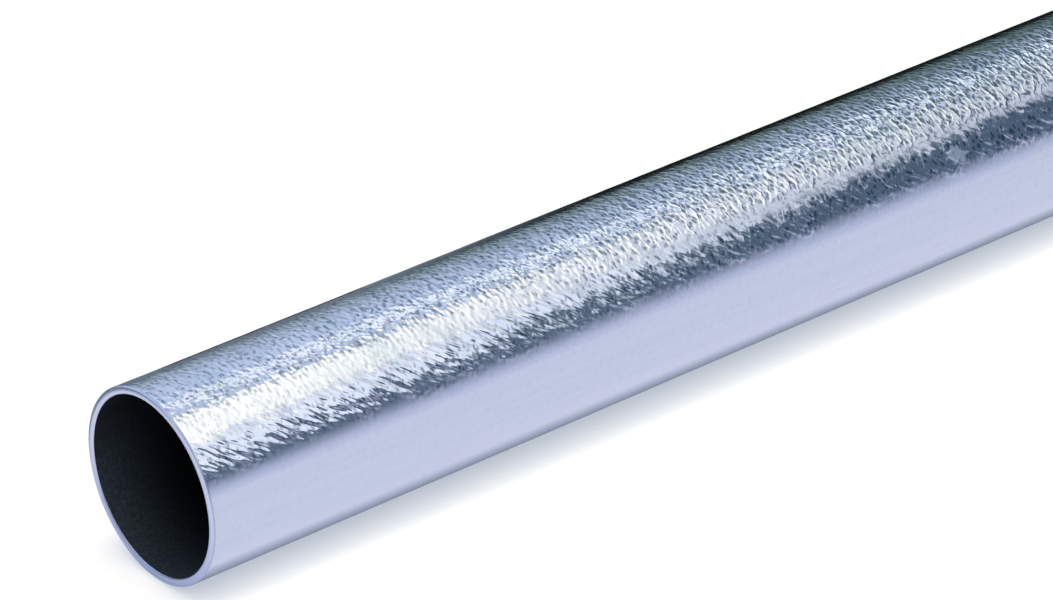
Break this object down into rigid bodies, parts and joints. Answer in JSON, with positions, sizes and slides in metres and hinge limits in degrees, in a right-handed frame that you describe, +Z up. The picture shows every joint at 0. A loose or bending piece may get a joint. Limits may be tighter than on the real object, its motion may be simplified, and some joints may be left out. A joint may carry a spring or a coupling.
{
  "type": "steel tube",
  "caption": "Length of thin-walled galvanised round steel tube, open right through, with square-cut and lightly rounded ends, lying on its side.",
  "frame": {"origin": "on the ground plane, at the middle of the line along which the tube rests", "axes": "+X along the tube, +Z up, +Y level across it"},
  "size_m": [1, 0.0482, 0.0483],
  "materials": {
    "galvanised_steel": "zinc coating, bright and rippled, with fine slanting runs"
  },
  "bodies": {
    "root": {"tube": "galvanised_steel"}
  },
  "joints": []
}
